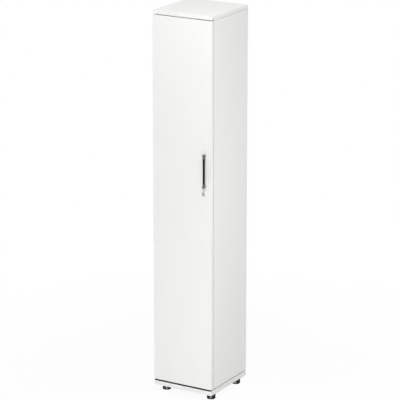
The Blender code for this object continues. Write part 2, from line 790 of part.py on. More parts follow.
# Levelling feet: a flanged sleeve let into the bottom panel, and a glide on a stud that screws into it
flange_bottom = FOOT_HEIGHT - TOUCH - MOUNT_FLANGE
glide_top = flange_bottom - TOUCH
sleeve_top = Z_FLOOR - SLEEVE_COVER
stud_top = sleeve_top - STUD_ROOM
FOOT_PLACES = {
    "front_left": (X_LEFT + FOOT_SIDE_INSET, Y_FRONT + FOOT_FRONT_INSET),
    "front_right": (X_RIGHT - FOOT_SIDE_INSET, Y_FRONT + FOOT_FRONT_INSET),
    "back_left": (X_LEFT + FOOT_SIDE_INSET, Y_BACK - FOOT_BACK_INSET),
    "back_right": (X_RIGHT - FOOT_SIDE_INSET, Y_BACK - FOOT_BACK_INSET),
}
for corner, (foot_x, foot_y) in FOOT_PLACES.items():
    foot_axis = axis_empty(f"foot_axis_{corner}", (foot_x, foot_y, 0.0))
    turned(
        f"foot_mount_{corner}",
        [
            (STUD_RADIUS + FIT, sleeve_top),
            (SLEEVE_RADIUS, sleeve_top),
            (SLEEVE_RADIUS, FOOT_HEIGHT - TOUCH),
            (MOUNT_RADIUS, FOOT_HEIGHT - TOUCH),
            (MOUNT_RADIUS, flange_bottom),
            (STUD_RADIUS + FIT, flange_bottom),
        ],
        (foot_x, foot_y, 0.0),
        (0.0, 0.0, 1.0),
        BLACK_PLASTIC,
        ROUND_FOOT,
        ring=True,
    )
    sleeve_bore = rod(
        "sleeve_bore",
        SLEEVE_RADIUS + FIT,
        (foot_x, foot_y, FOOT_HEIGHT - BOTTOM_THICKNESS),
        (foot_x, foot_y, sleeve_top + FIT),
        sides=ROUND_FOOT,
    )
    cut(bottom_panel, sleeve_bore)
    foot = turned(
        f"foot_{corner}",
        [
            (0.0, stud_top),
            (STUD_RADIUS, stud_top),
            (STUD_RADIUS, glide_top),
            (FOOT_RADIUS - FOOT_EDGE, glide_top),
            (FOOT_RADIUS, glide_top - FOOT_EDGE),
            (FOOT_RADIUS, FOOT_EDGE),
            (FOOT_RADIUS - FOOT_EDGE, 0.0),
            (0.0, 0.0),
        ],
        (foot_x, foot_y, 0.0),
        (0.0, 0.0, 1.0),
        BLACK_PLASTIC,
        ROUND_FOOT,
    )
    carry(foot_axis, foot)
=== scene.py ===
import math

import bmesh
import bpy
from mathutils import Matrix, Vector


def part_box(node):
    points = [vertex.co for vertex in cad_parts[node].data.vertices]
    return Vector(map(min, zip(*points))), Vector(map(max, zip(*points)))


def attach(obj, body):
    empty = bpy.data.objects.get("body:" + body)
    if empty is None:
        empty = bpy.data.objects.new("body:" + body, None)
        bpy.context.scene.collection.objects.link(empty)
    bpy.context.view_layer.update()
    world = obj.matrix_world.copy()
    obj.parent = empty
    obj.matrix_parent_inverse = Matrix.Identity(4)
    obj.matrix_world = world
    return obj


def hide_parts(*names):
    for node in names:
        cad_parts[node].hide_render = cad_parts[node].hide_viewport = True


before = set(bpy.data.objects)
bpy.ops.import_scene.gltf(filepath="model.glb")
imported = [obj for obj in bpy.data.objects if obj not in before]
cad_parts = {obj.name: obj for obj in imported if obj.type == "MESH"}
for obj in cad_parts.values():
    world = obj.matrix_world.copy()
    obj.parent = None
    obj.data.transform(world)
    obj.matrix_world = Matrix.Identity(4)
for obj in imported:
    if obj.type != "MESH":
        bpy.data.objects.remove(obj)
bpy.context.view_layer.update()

# Bottom panel
# A 25 mm slab of pressed wood chips that the whole cupboard stands on. White melamine paper is
# pressed hot onto its faces and plastic bands are glued round it, so raw chips show only in bores.


class Wire:
    """One socket of a finish; an expression with it adds the Math nodes that work it out."""

    def __init__(self, finish, socket):
        self.finish = finish
        self.socket = socket

    def math(self, operation, first, second):
        return self.finish.node("Math", {"operation": operation}, {0: first, 1: second})

    def __add__(self, other):
        return self.math("ADD", self, other)

    def __sub__(self, other):
        return self.math("SUBTRACT", self, other)

    def __rsub__(self, other):
        return self.math("SUBTRACT", other, self)

    def __mul__(self, other):
        return self.math("MULTIPLY", self, other)

    def __pow__(self, other):
        return self.math("POWER", self, other)

    def __gt__(self, other):
        return self.math("GREATER_THAN", self, other)

    def __lt__(self, other):
        return self.math("LESS_THAN", self, other)

    def __and__(self, other):
        return self.math("MINIMUM", self, other)

    def __or__(self, other):
        return self.math("MAXIMUM", self, other)

    __radd__ = __add__
    __rmul__ = __mul__


class Finish:
    """The node tree of a material or of the studio's surroundings."""

    def __init__(self, owner):
        owner.use_nodes = True
        self.owner = owner
        self.tree = owner.node_tree

    def node(self, kind, settings, sockets, output=0):
        node = self.tree.nodes.new("ShaderNode" + kind)
        for name, setting in settings.items():
            setattr(node, name, setting)
        for name, value in sockets.items():
            self.feed(node.inputs[name], value)
        return Wire(self, node.outputs[output])

    def feed(self, socket, value):
        if isinstance(value, Wire):
            self.tree.links.new(value.socket, socket)
        elif socket.type == "RGBA":
            socket.default_value = (*value, 1.0)
        else:
            socket.default_value = value

    def spot(self):
        """Where on the piece a point lies, in metres."""
        return self.node("TexCoord", {}, {}, "Object")

    def stretched(self, spot, scale):
        return self.node("VectorMath", {"operation": "MULTIPLY"}, {0: spot, 1: scale})

    def split(self, spot):
        parts = self.node("SeparateXYZ", {}, {0: spot}).socket.node.outputs
        return [Wire(self, part) for part in parts]

    def noise(self, spot, scale, detail):
        return self.node("TexNoise", {}, {"Vector": spot, "Scale": scale, "Detail": detail})

    def eased(self, value, start, end):
        """0 where the value is at its start and 1 at its end, with a soft change between them."""
        limits = {"Value": value, "From Min": start, "From Max": end}
        return self.node("MapRange", {"interpolation_type": "SMOOTHSTEP"}, limits)

    def blend(self, share, first, second):
        return self.node("Mix", {"data_type": "RGBA"}, {0: share, 6: first, 7: second}, 2)

    def relief(self, height):
        """The normal of a surface that stands out by this height in metres."""
        return self.node("Bump", {}, {"Strength": 1.0, "Distance": 1.0, "Height": height})

    def surface(self, sockets):
        for name, value in sockets.items():
            self.feed(self.tree.nodes["Principled BSDF"].inputs[name], value)
        return self.owner


PAPER = 0.0016
SEALED_RIM = 0.0080
BAND = 0.0011
GLUE_LINE = 0.00025
RUBBED_RIM = 0.005
WHITE = (0.868, 0.868, 0.851)
WHITE_CLOUD = (0.846, 0.846, 0.829)
GLUE = (0.42, 0.41, 0.38)
RUBBED = (0.60, 0.59, 0.57)
CHIP_DARK = (0.20, 0.125, 0.065)
CHIP_PALE = (0.55, 0.40, 0.24)
GROOVE_WALL = 0.0032
# Dust and painted shade for the low shadow groove
GROOVE_DUST_AND_SHADE = (0.31, 0.305, 0.29)
PEARL_RELIEF = 0.000012
CHIP_RELIEF = 0.0006


def melamine(board, thin):
    """The finish of one board, whose faces lie across axis thin: 0, 1 or 2 for X, Y or Z.

    Dust and painted shade darken the shadow groove at the foot of an upright side.
    """
    low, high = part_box(board)
    finish = Finish(bpy.data.materials.new(board + "_melamine"))
    spot = finish.spot()
    above = finish.node("VectorMath", {"operation": "SUBTRACT"}, {0: spot, 1: low})
    below = finish.node("VectorMath", {"operation": "SUBTRACT"}, {0: high, 1: spot})
    depths = finish.split(finish.node("VectorMath", {"operation": "MINIMUM"}, {0: above, 1: below}))
    skin = depths.pop(thin)
    rim = depths[0] & depths[1]
    raw = (skin > PAPER) * (rim > SEALED_RIM)
    seam = (rim > BAND) * (rim < BAND + GLUE_LINE)
    cloud = finish.noise(spot, 7.0, 3.0)
    pearl = finish.noise(spot, 2400.0, 2.0)
    rub = finish.noise(spot, 60.0, 5.0)
    chips = finish.noise(spot, 430.0, 3.0)
    worn = finish.eased(rim, RUBBED_RIM, 0.0) * finish.eased(rub, 0.55, 0.72)
    white = finish.blend(cloud, WHITE, WHITE_CLOUD)
    white = finish.blend(seam * 0.45, white, GLUE)
    white = finish.blend(worn * 0.25, white, RUBBED)
    if thin == 0:
        # Painted shade: a dust-grey colour darkens the walls of the low shadow groove.
        groove = (skin > PAPER) * (skin < GROOVE_WALL) * (finish.split(above)[2] < SEALED_RIM)
        white = finish.blend(groove * (0.6 + 0.6 * rub), white, GROOVE_DUST_AND_SHADE)
    wood = finish.blend(finish.eased(chips, 0.35, 0.65), CHIP_DARK, CHIP_PALE)
    return finish.surface({
        "Base Color": finish.blend(raw, white, wood),
        "Roughness": 0.36 + 0.12 * rub + 0.40 * raw,
        "Normal": finish.relief((1 - raw) * pearl * PEARL_RELIEF + raw * chips * CHIP_RELIEF),
        "Specular IOR Level": 0.4,
    })


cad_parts["bottom_panel"].active_material = melamine("bottom_panel", 2)

# Foot sleeves
# Black plastic sleeves pressed into bores under the bottom panel, one near each corner. A flange
# seats each one against the board, and the bore takes the threaded stud of a foot.

CORNERS = ("front_left", "front_right", "back_left", "back_right")
BLACK = (0.004, 0.004, 0.0043)
BLACK_SCUFF = (0.022, 0.022, 0.023)
SLEEVE_RADIUS = 0.007
STUD_RADIUS = 0.004
STUD_PLAY = 0.0003
SLEEVE_EDGE = 0.0006
SPARK_RELIEF = 0.00001
EASE_STEPS = 4
SHARP_ANGLE = math.radians(40)


def eased_outline(corners, reach):
    """The line through the corners with each inner corner rounded, from this far before it."""
    points = [Vector(corner) for corner in corners]
    line = [points[0]]
    for before, corner, after in zip(points, points[1:], points[2:]):
        start = corner + (before - corner).normalized() * min(reach, (before - corner).length / 2)
        end = corner + (after - corner).normalized() * min(reach, (after - corner).length / 2)
        for step in range(EASE_STEPS + 1):
            along = step / EASE_STEPS
            line.append(start.lerp(corner, along).lerp(corner.lerp(end, along), along))
    return line + [points[-1]]


def turned(outline, sides=64):
    """A piece turned about Z from (radius, height) points."""
    shape = bmesh.new()
    line = [shape.verts.new((radius, 0.0, height)) for radius, height in outline]
    edges = [shape.edges.new(pair) for pair in zip(line, line[1:])]
    bmesh.ops.spin(
        shape, geom=line + edges, cent=(0, 0, 0), axis=(0, 0, 1), angle=math.tau, steps=sides
    )
    bmesh.ops.remove_doubles(shape, verts=shape.verts, dist=1e-7)
    bmesh.ops.recalc_face_normals(shape, faces=shape.faces)
    return shape


def standing(place, along):
    """The place of a turned piece that stands at a point, with its axis along a direction."""
    turn = Vector(along).to_track_quat("Z", "Y").to_matrix().to_4x4()
    return Matrix.Translation(place) @ turn


def piece(name, mesh, place, body, slot, *stands_for):
    """Puts a piece in its place on a body, in the stead of the plain solids it stands for."""
    made = bpy.data.objects.new(name, mesh)
    bpy.context.scene.collection.objects.link(made)
    made.matrix_world = place
    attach(made, body)
    if stands_for:
        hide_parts(*stands_for)


def meshed(name, shape, material):
    """The mesh of a finished shape, smooth but for its real edges."""
    mesh = bpy.data.meshes.new(name)
    shape.to_mesh(mesh)
    shape.free()
    mesh.materials.append(material)
    mesh.shade_smooth()
    mesh.set_sharp_from_angle(angle=SHARP_ANGLE)
    return mesh


def moulded_black(name, rough):
    """Black plastic from a fine-sparked mould, scuffed paler in patches."""
    finish = Finish(bpy.data.materials.new(name))
    spot = finish.spot()
    spark = finish.noise(spot, 2200.0, 2.0)
    streaks = finish.noise(finish.stretched(spot, (1.0, 1.0, 6.0)), 120.0, 5.0)
    scuff = finish.eased(streaks, 0.5, 0.75)
    return finish.surface({
        "Base Color": finish.blend(scuff, BLACK, BLACK_SCUFF),
        "Roughness": rough + 0.08 * spark + 0.14 * scuff,
        "Normal": finish.relief(spark * SPARK_RELIEF),
        "Specular IOR Level": 0.3,
    })


sleeve_low, sleeve_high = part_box("foot_mount_front_left")
sleeve_bore = STUD_RADIUS + STUD_PLAY
flange_radius = (sleeve_high.x - sleeve_low.x) / 2
flange_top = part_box("bottom_panel")[0].z - STUD_PLAY
sleeve_mesh = meshed("foot_sleeve", turned(eased_outline([
    (sleeve_bore, sleeve_low.z),
    (flange_radius, sleeve_low.z),
    (flange_radius, flange_top),
    (SLEEVE_RADIUS, flange_top),
    (SLEEVE_RADIUS, sleeve_high.z),
    (sleeve_bore, sleeve_high.z),
    (sleeve_bore, sleeve_low.z),
], SLEEVE_EDGE)), moulded_black("sleeve_plastic", 0.34))
for corner in CORNERS:
    mount = "foot_mount_" + corner
    low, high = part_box(mount)
    place = Matrix.Translation(((low.x + high.x) / 2, (low.y + high.y) / 2, 0.0))
    piece("foot_sleeve_" + corner, sleeve_mesh, place, "carcass", "black_plastic", mount)

# Levelling feet
# Each foot is a black plastic glide with stepped grip rings, moulded round the end of a zinc-plated
# threaded stud, with a harder pad pressed into its base. Turning it screws the stud in its sleeve.

GLIDE_EDGE = 0.003
RING_COUNT = 7
RING_SLOPE = math.radians(11.0)
PAD_HEIGHT = 0.004
PAD_INSET = 0.0006
PAD_GROOVE = 0.0009
STUD_ROOT = 0.018
THREAD_PITCH = 0.00125
THREAD_DEPTH = 0.0006
LATHE_RELIEF = 0.000004
ZINC = (0.60, 0.61, 0.63)
ZINC_DULL = (0.40, 0.41, 0.43)


def turned_metal(name, pale, dull, rough):
    """Metal off a lathe: rings left by the tool round the axis, and a cloudy bloom of handling."""
    finish = Finish(bpy.data.materials.new(name))
    spot = finish.spot()
    x, y, z = finish.split(spot)
    radius = (x * x + y * y) ** 0.5
    lathe = finish.node("CombineXYZ", {}, {"X": radius * 60.0, "Y": z * 60.0, "Z": 0.0})
    rings = finish.noise(lathe, 90.0, 2.0)
    bloom = finish.noise(spot, 240.0, 4.0)
    return finish.surface({
        "Base Color": finish.blend(finish.eased(bloom, 0.35, 0.70), pale, dull),
        "Roughness": rough + 0.10 * rings + 0.08 * bloom,
        "Normal": finish.relief(rings * LATHE_RELIEF),
        "Metallic": 1.0,
    })


glide_low, glide_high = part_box("foot_front_left")
glide_radius = (glide_high.x - glide_low.x) / 2
glide_top = sleeve_low.z - STUD_PLAY
pad_radius = glide_radius - PAD_INSET
ring_start = PAD_HEIGHT + PAD_GROOVE
ring_height = (glide_top - ring_start) / RING_COUNT
ring_step = ring_height * math.tan(RING_SLOPE)
glide_outline = eased_outline([
    (0.0, 0.0),
    (pad_radius, 0.0),
    (pad_radius, PAD_HEIGHT),
    (pad_radius - PAD_GROOVE, PAD_HEIGHT),
    (pad_radius - PAD_GROOVE, PAD_HEIGHT + PAD_GROOVE),
], PAD_GROOVE / 2)
for ring in range(RING_COUNT):
    glide_outline.append(Vector((glide_radius, ring_start + ring * ring_height)))
    glide_outline.append(Vector((glide_radius - ring_step, ring_start + (ring + 1) * ring_height)))
glide_outline += eased_outline([
    glide_outline.pop(),
    (STUD_RADIUS + STUD_PLAY, glide_top),
    (STUD_RADIUS + STUD_PLAY, STUD_ROOT),
], GLIDE_EDGE) + [Vector((0.0, STUD_ROOT))]
glide_mesh = meshed("foot_glide", turned(glide_outline, 96), moulded_black("glide_plastic", 0.15))
stud_outline = [(0.0, STUD_ROOT + STUD_PLAY), (STUD_RADIUS, STUD_ROOT + STUD_PLAY)]
for turn in range(int((glide_high.z - STUD_ROOT - STUD_PLAY) / THREAD_PITCH)):
    height = STUD_ROOT + STUD_PLAY + turn * THREAD_PITCH
    stud_outline.append((STUD_RADIUS - THREAD_DEPTH, height + THREAD_PITCH / 2))
    stud_outline.append((STUD_RADIUS, height + THREAD_PITCH))
stud_outline += [(STUD_RADIUS - THREAD_DEPTH, glide_high.z), (0.0, glide_high.z)]
stud_zinc = turned_metal("stud_zinc", ZINC, ZINC_DULL, 0.26)
stud_mesh = meshed("foot_stud", turned(stud_outline, 48), stud_zinc)
for corner in CORNERS:
    foot = "foot_" + corner
    body = "leveller_" + corner
    low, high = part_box(foot)
    place = Matrix.Translation(((low.x + high.x) / 2, (low.y + high.y) / 2, 0.0))
    piece("foot_glide_" + corner, glide_mesh, place, body, "black_plastic", foot)
    piece("foot_stud_" + corner, stud_mesh, place, body, "zinc")

# Side panels
# Two 19 mm boards that stand on the bottom panel, drilled on their inner faces with rows of holes
# for the shelf pins and grooved for the back panel. A shadow groove is milled across both ends.

for board in ("left_side_panel", "right_side_panel"):
    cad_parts[board].active_material = melamine(board, 0)

# Door strips
# Soft rubber strips that close the gaps round the shut door; their dark colours are painted shade for
# those gaps. A black one with a round bead lies along the front of the bottom panel, and a flat grey
# one runs up the edge of the right side panel.

PANEL_ROUND = 0.0020
BOARD_ROUND = 0.0010
LIP = 0.0017
LIP_BEND = 0.0005
STRIP_END_GAP = 0.0020
STRIP_WIDTH = 0.0140
SIDE_STRIP_WIDTH = 0.0080
STRIP_TAIL = 0.0010
STRIP_PLAY = 0.0008
BEAD_STEPS = 12
RUBBER_RELIEF = 0.00002
# Painted shade: these dark rubber colours stand for the shade in the gaps round the door.
BLACK_RUBBER_GAP_SHADE = (0.007, 0.007, 0.007)
BLACK_RUBBER_GAP_SHADE_DUSTY = (0.024, 0.0235, 0.0225)
GREY_RUBBER_GAP_SHADE = (0.15, 0.15, 0.145)
GREY_RUBBER_GAP_SHADE_DUSTY = (0.20, 0.198, 0.19)


def drawn(section, length):
    """A strip drawn along Z, of one (x, y) section."""
    shape = bmesh.new()
    ends = [[shape.verts.new((x, y, z)) for x, y in section] for z in (0.0, length)]
    for end in ends:
        shape.faces.new(end)
    for first in range(len(section)):
        second = (first + 1) % len(section)
        shape.faces.new((ends[0][first], ends[0][second], ends[1][second], ends[1][first]))
    bmesh.ops.recalc_face_normals(shape, faces=shape.faces)
    return shape


def soft_rubber(name, clean, dusty):
    """Rubber with a fine dull skin that holds dust in patches."""
    finish = Finish(bpy.data.materials.new(name))
    spot = finish.spot()
    dust = finish.eased(finish.noise(spot, 380.0, 5.0), 0.50, 0.80)
    skin = finish.noise(spot, 3000.0, 2.0)
    return finish.surface({
        "Base Color": finish.blend(dust, clean, dusty),
        "Roughness": 0.62 + 0.18 * dust,
        "Normal": finish.relief(skin * RUBBER_RELIEF),
        "Specular IOR Level": 0.25,
    })


low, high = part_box("bottom_panel")
door_low, door_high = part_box("door_panel")
bead_height = door_low.z - high.z - STRIP_PLAY
bead_radius = bead_height / 2
bead_section = [(0.0, -LIP)]
for step in range(BEAD_STEPS + 1):
    angle = math.pi * (1 - step / BEAD_STEPS)
    bead_section.append((bead_radius * (1 + math.cos(angle)), bead_radius * (1 + math.sin(angle))))
bead_section += [
    (2 * bead_radius, STRIP_TAIL),
    (STRIP_WIDTH, STRIP_TAIL / 2),
    (STRIP_WIDTH, 0.0),
    (PANEL_ROUND, 0.0),
    (LIP_BEND, -LIP_BEND),
]
bead = drawn(bead_section, high.x - low.x - 2 * STRIP_END_GAP)
# Painted shade: the black strip darkens the gap under the door.
bead_mesh = meshed("strip_bottom", bead, soft_rubber("black_rubber_gap_shade", BLACK_RUBBER_GAP_SHADE, BLACK_RUBBER_GAP_SHADE_DUSTY))
along_x = Matrix((
    (0, 0, 1, low.x + STRIP_END_GAP),
    (1, 0, 0, low.y),
    (0, 1, 0, high.z),
    (0, 0, 0, 1),
))
piece("strip_bottom", bead_mesh, along_x, "carcass", "black_plastic")
low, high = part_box("right_side_panel")
strip_room = low.y - door_high.y - STRIP_PLAY
strip_edge = high.x - BOARD_ROUND
flat_section = eased_outline([
    (strip_edge - SIDE_STRIP_WIDTH, low.y),
    (strip_edge - SIDE_STRIP_WIDTH, low.y - strip_room),
    (strip_edge, low.y - strip_room),
    (strip_edge, low.y),
], BOARD_ROUND)
flat = drawn(flat_section, door_high.z - door_low.z)
# Painted shade: the grey strip darkens the gap beside the door.
flat_mesh = meshed("strip_side", flat, soft_rubber("grey_rubber_gap_shade", GREY_RUBBER_GAP_SHADE, GREY_RUBBER_GAP_SHADE_DUSTY))
piece("strip_side", flat_mesh, Matrix.Translation((0.0, 0.0, door_low.z)), "carcass", "black_plastic")

# Back panel
# A thin fibreboard sheet that slides into grooves all round and keeps the cupboard square. It is
# lacquered white rather than papered, so the pressed fibres show faintly through the paint.

LACQUER = (0.80, 0.80, 0.785)
LACQUER_THIN = (0.772, 0.768, 0.750)
FIBRE_RELIEF = 0.00005

back_finish = Finish(bpy.data.materials.new("back_panel_lacquer"))
back_spot = back_finish.spot()
fibres = back_finish.noise(back_finish.stretched(back_spot, (1.0, 1.0, 0.25)), 900.0, 4.0)
flecks = back_finish.noise(back_spot, 150.0, 6.0)
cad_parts["back_panel"].active_material = back_finish.surface({
    "Base Color": back_finish.blend(back_finish.eased(flecks, 0.45, 0.75), LACQUER, LACQUER_THIN),
    "Roughness": 0.52 + 0.14 * fibres,
    "Normal": back_finish.relief(fibres * FIBRE_RELIEF),
    "Specular IOR Level": 0.3,
})

# Top panel
# A 19 mm board that lies over both sides and over the door, banded on all four edges. It is pulled
# down onto the sides by the cam fittings inside.

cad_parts["top_panel"].active_material = melamine("top_panel", 2)

# Fitting caps
# White plastic caps pressed over the cam fittings that pull the top and the bottom onto the sides,
# two at each end of each side panel.

CAP_RADIUS = 0.009
CAP_HEIGHT = 0.0014
CAP_DISH_RADIUS = 0.00495
CAP_DISH_HEIGHT = 0.00098
CAP_RIM_RADIUS = 0.0063
CAP_EDGE = 0.0006
CAP_RELIEF = 0.00002
CAP_END_INSET = 0.034
CAP_ROWS = (-0.095, 0.115)
CAP_WHITE = (0.84, 0.84, 0.825)
CAP_SHADE = (0.80, 0.80, 0.79)

cap_finish = Finish(bpy.data.materials.new("cap_plastic"))
cap_spot = cap_finish.spot()
cap_flow = cap_finish.noise(cap_spot, 300.0, 3.0)
cap_material = cap_finish.surface({
    "Base Color": cap_finish.blend(cap_flow, CAP_WHITE, CAP_SHADE),
    "Roughness": 0.34 + 0.10 * cap_flow,
    "Normal": cap_finish.relief(cap_flow * CAP_RELIEF),
})
cap_mesh = meshed("fitting_cap", turned(eased_outline([
    (0.0, CAP_DISH_HEIGHT),
    (CAP_DISH_RADIUS, CAP_DISH_HEIGHT),
    (CAP_RIM_RADIUS, CAP_HEIGHT),
    (CAP_RADIUS, CAP_HEIGHT),
    (CAP_RADIUS, 0.0),
    (0.0, 0.0),
], CAP_EDGE)), cap_material)
cap_heights = {
    "low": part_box("bottom_panel")[1].z + CAP_END_INSET,
    "high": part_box("top_panel")[0].z - CAP_END_INSET,
}
inner_faces = {"left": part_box("left_side_panel")[1].x, "right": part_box("right_side_panel")[0].x}
for side, inner_x in inner_faces.items():
    for row, row_y in enumerate(CAP_ROWS, 1):
        for end, height in cap_heights.items():
            place = standing((inner_x, row_y, height), (-inner_x, 0.0, 0.0))
            piece(f"fitting_cap_{side}_{end}_{row}", cap_mesh, place, "carcass", "white_board")

# Shelves and shelf pins
# Loose 19 mm boards with a banded front edge, each lying on four nickelled steel pins. A pin is a
# turned peg whose thin end is pushed into a hole in the side panel.

NICKEL = (0.62, 0.60, 0.56)
NICKEL_DULL = (0.47, 0.455, 0.43)
PIN_RADIUS = 0.0025
PIN_EDGE = 0.0006

pin_low, pin_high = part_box("shelf_pin_1_left_front")
peg_radius = (pin_high.y - pin_low.y) / 2
peg_start = inner_faces["left"] + STUD_PLAY - pin_low.x
pin_mesh = meshed("shelf_pin", turned(eased_outline([
    (0.0, 0.0),
    (PIN_RADIUS, 0.0),
    (PIN_RADIUS, peg_start),
    (peg_radius, peg_start),
    (peg_radius, pin_high.x - pin_low.x),
    (0.0, pin_high.x - pin_low.x),
], PIN_EDGE), 32), turned_metal("pin_nickel", NICKEL, NICKEL_DULL, 0.22))
for shelf in range(1, 5):
    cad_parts[f"shelf_{shelf}"].active_material = melamine(f"shelf_{shelf}", 2)
    for side, inward in (("left", 1), ("right", -1)):
        for row in ("front", "back"):
            name = f"shelf_pin_{shelf}_{side}_{row}"
            low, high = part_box(name)
            seat = ((low.x if inward == 1 else high.x), (low.y + high.y) / 2, (low.z + high.z) / 2)
            place = standing(seat, (inward, 0.0, 0.0))
            piece(f"peg_{shelf}_{side}_{row}", pin_mesh, place, "carcass", "zinc", name)

# Strike
# A bent strip of zinc-plated steel screwed to the right side panel. The lock's cam turns behind its
# lip, and two pan-head screws hold it.

STRIKE_HEAD_RADIUS = 0.0035
STRIKE_HEAD_HEIGHT = 0.0015
BROKEN_EDGE = 0.0003
RECESS_WIDTH = 0.0009
RECESS_LENGTH = 0.0042
RECESS_DEPTH = 0.0009
RECESS_SHARE = 0.7
CROWN_SHARE = 0.72
RIM_SHARE = 0.45
HEAD_ROUND_SHARE = 0.22
ROLLED_RELIEF = 0.000004


def pressed_steel(name, pale, dull, rough):
    """Plated steel sheet: fine rolling scratches one way and a cloudy bloom."""
    finish = Finish(bpy.data.materials.new(name))
    spot = finish.spot()
    rolled = finish.noise(finish.stretched(spot, (1.0, 1.0, 0.04)), 2600.0, 2.0)
    bloom = finish.noise(spot, 180.0, 5.0)
    return finish.surface({
        "Base Color": finish.blend(finish.eased(bloom, 0.38, 0.68), pale, dull),
        "Roughness": rough + 0.12 * rolled + 0.10 * bloom,
        "Normal": finish.relief(rolled * ROLLED_RELIEF),
        "Metallic": 1.0,
    })


def edges_broken(node):
    """Takes the sharpness off the pressed edges of a metal part."""
    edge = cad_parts[node].modifiers.new("broken_edges", "BEVEL")
    edge.width = BROKEN_EDGE
    edge.segments = 2
    edge.limit_method = "ANGLE"
    edge.angle_limit = SHARP_ANGLE


def block(low, high):
    """A square-edged tool for cutting."""
    shape = bmesh.new()
    size = Vector(high) - Vector(low)
    middle = Matrix.Translation((Vector(high) + Vector(low)) / 2)
    bmesh.ops.create_cube(shape, size=1.0, matrix=middle @ Matrix.Diagonal((*size, 1.0)))
    return shape


def worked(operation, shape, *tools):
    """The shape after each tool is cut from it or joined to it."""
    blanks = []
    for form in (shape, *tools):
        blank = bpy.data.objects.new("blank", bpy.data.meshes.new("blank"))
        form.to_mesh(blank.data)
        form.free()
        bpy.context.scene.collection.objects.link(blank)
        blanks.append(blank)
    for tool in blanks[1:]:
        step = blanks[0].modifiers.new("step", "BOOLEAN")
        step.operation = operation
        step.object = tool
    result = bmesh.new()
    bpy.context.view_layer.update()
    result.from_object(blanks[0], bpy.context.evaluated_depsgraph_get())
    for blank in blanks:
        bpy.data.objects.remove(blank)
    return result


def cross_head(radius, height):
    """A pan head with a cross recess, standing up from Z 0."""
    head = turned(eased_outline([
        (0.0, height),
        (radius * CROWN_SHARE, height),
        (radius, height * RIM_SHARE),
        (radius, 0.0),
        (0.0, 0.0),
    ], radius * HEAD_ROUND_SHARE), 40)
    reach = RECESS_LENGTH / 2
    half = RECESS_WIDTH / 2
    floor = height - min(RECESS_DEPTH, height * RECESS_SHARE)
    slots = [
        block((-reach, -half, floor), (reach, half, height * 2)),
        block((-half, -reach, floor), (half, reach, height * 2)),
    ]
    return worked("DIFFERENCE", head, *slots)


strike_zinc = pressed_steel("strike_zinc", ZINC, ZINC_DULL, 0.24)
screw_zinc = turned_metal("screw_zinc", ZINC, ZINC_DULL, 0.24)
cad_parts["lock_strike"].active_material = strike_zinc
edges_broken("lock_strike")
for end in ("lower", "upper"):
    low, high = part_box("strike_screw_" + end)
    plate = low.x + STRIKE_HEAD_HEIGHT
    mesh = meshed("strike_head_" + end, cross_head(STRIKE_HEAD_RADIUS, plate - low.x), screw_zinc)
    place = standing((plate, (low.y + high.y) / 2, (low.z + high.z) / 2), (-1.0, 0.0, 0.0))
    piece("strike_head_" + end, mesh, place, "carcass", "zinc", "strike_screw_" + end)

# Door
# A 19 mm board, banded all round, that hangs on the left side and closes between the top and the
# bottom. It is bored through for the lock and the handle and pocketed behind for the hinge cups.

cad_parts["door_panel"].active_material = melamine("door_panel", 1)

# Hinges
# Four pressed steel hinges, nickel plated. Each cup is let into the door and held by two screws, and
# each arm turns on a pin in its cup and is screwed to the left side panel through its base.

CUP_SCREW_SPREAD = 0.0235
CUP_HEAD_RADIUS = 0.0036
CUP_HEAD_HEIGHT = 0.0009
BASE_SCREW_SPREAD = 0.0105
BASE_SCREW_BACK = 0.016
BASE_HEAD_RADIUS = 0.0036
BASE_HEAD_HEIGHT = 0.0018
BASE_THICKNESS = 0.0033

hinge_nickel = pressed_steel("hinge_nickel", NICKEL, NICKEL_DULL, 0.20)
pin_steel = turned_metal("hinge_pin_steel", ZINC, ZINC_DULL, 0.18)
cup_head = meshed("cup_screw", cross_head(CUP_HEAD_RADIUS, CUP_HEAD_HEIGHT), screw_zinc)
base_head = meshed("base_screw", cross_head(BASE_HEAD_RADIUS, BASE_HEAD_HEIGHT), screw_zinc)
for hinge in range(1, 5):
    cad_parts[f"hinge_cup_{hinge}"].active_material = hinge_nickel
    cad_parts[f"hinge_arm_{hinge}"].active_material = hinge_nickel
    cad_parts[f"hinge_pin_{hinge}"].active_material = pin_steel
    edges_broken(f"hinge_cup_{hinge}")
    edges_broken(f"hinge_arm_{hinge}")
    cup_low, cup_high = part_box(f"hinge_cup_{hinge}")
    arm_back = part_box(f"hinge_arm_{hinge}")[1].y
    middle = (cup_low.z + cup_high.z) / 2
    for end, way in (("low", -1), ("high", 1)):
        seat = ((cup_low.x + cup_high.x) / 2, cup_high.y, middle + way * CUP_SCREW_SPREAD)
        place = standing(seat, (0.0, 1.0, 0.0))
        piece(f"cup_screw_{hinge}_{end}", cup_head, place, "door", "zinc")
        seat = (
            inner_faces["left"] + BASE_THICKNESS,
            arm_back - BASE_SCREW_BACK,
            middle + way * BASE_SCREW_SPREAD,
        )
        place = standing(seat, (1.0, 0.0, 0.0))
        piece(f"base_screw_{hinge}_{end}", base_head, place, "carcass", "zinc")

# Handle
# A straight black bar whose ends sit in two dark metal caps. Each cap stands off the door on a
# bright nickelled neck, and a screw from behind the door draws neck and cap tight.

